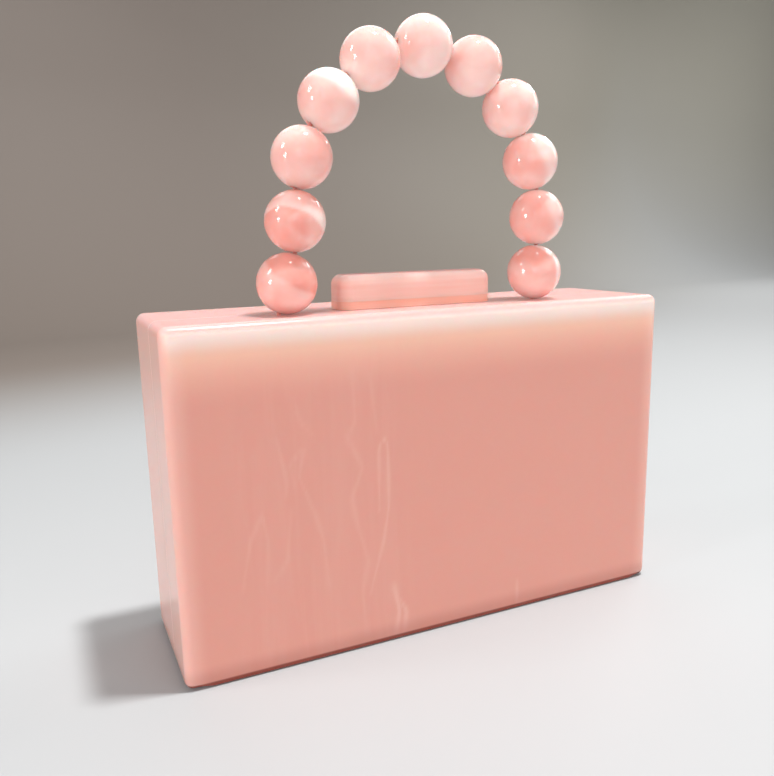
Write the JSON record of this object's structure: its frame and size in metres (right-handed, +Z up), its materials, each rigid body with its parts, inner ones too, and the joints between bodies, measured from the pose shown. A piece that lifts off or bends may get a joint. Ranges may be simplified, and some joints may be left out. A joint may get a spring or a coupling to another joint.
{
  "type": "bead-handled box clutch evening bag",
  "caption": "Hard acrylic box clutch with rounded edges, hinged along the bottom, with a layered clasp bar on top and an arched carrying handle of large round beads.",
  "frame": {"origin": "middle of the base, on the surface that the bag stands on", "axes": "+Z up through the handle, +X along the bag's width to the right as seen from the front, +Y to the back"},
  "size_m": [0.2, 0.0566, 0.2252],
  "materials": {
    "case_acrylic": "polished cast acrylic, translucent salmon pink with faint pale streaks",
    "clasp_acrylic": "polished cast acrylic, translucent salmon pink",
    "bead_acrylic": "polished marbled acrylic, pale pink with white swirls",
    "steel": "plain satin steel"
  },
  "bodies": {
    "front_case": {"front_shell": "case_acrylic", "clasp_base": "clasp_acrylic", "clasp_bar": "clasp_acrylic", "bead_01": "bead_acrylic", "bead_02": "bead_acrylic", "bead_03": "bead_acrylic", "bead_04": "bead_acrylic", "bead_05": "bead_acrylic", "bead_06": "bead_acrylic", "bead_07": "bead_acrylic", "bead_08": "bead_acrylic", "bead_09": "bead_acrylic", "bead_10": "bead_acrylic", "bead_11": "bead_acrylic", "handle_wire": "steel", "hinge_left_front": "steel", "hinge_right_front": "steel"},
    "back_case": {"back_shell": "case_acrylic", "hinge_left_back": "steel", "hinge_right_back": "steel"}
  },
  "joints": [
    {"name": "case_hinge", "type": "hinge", "parent": "front_case", "child": "back_case", "pos_m": [0, -0.006, 0.0026], "axis": [-1, 0, 0], "range_deg": [0, 60]}
  ]
}
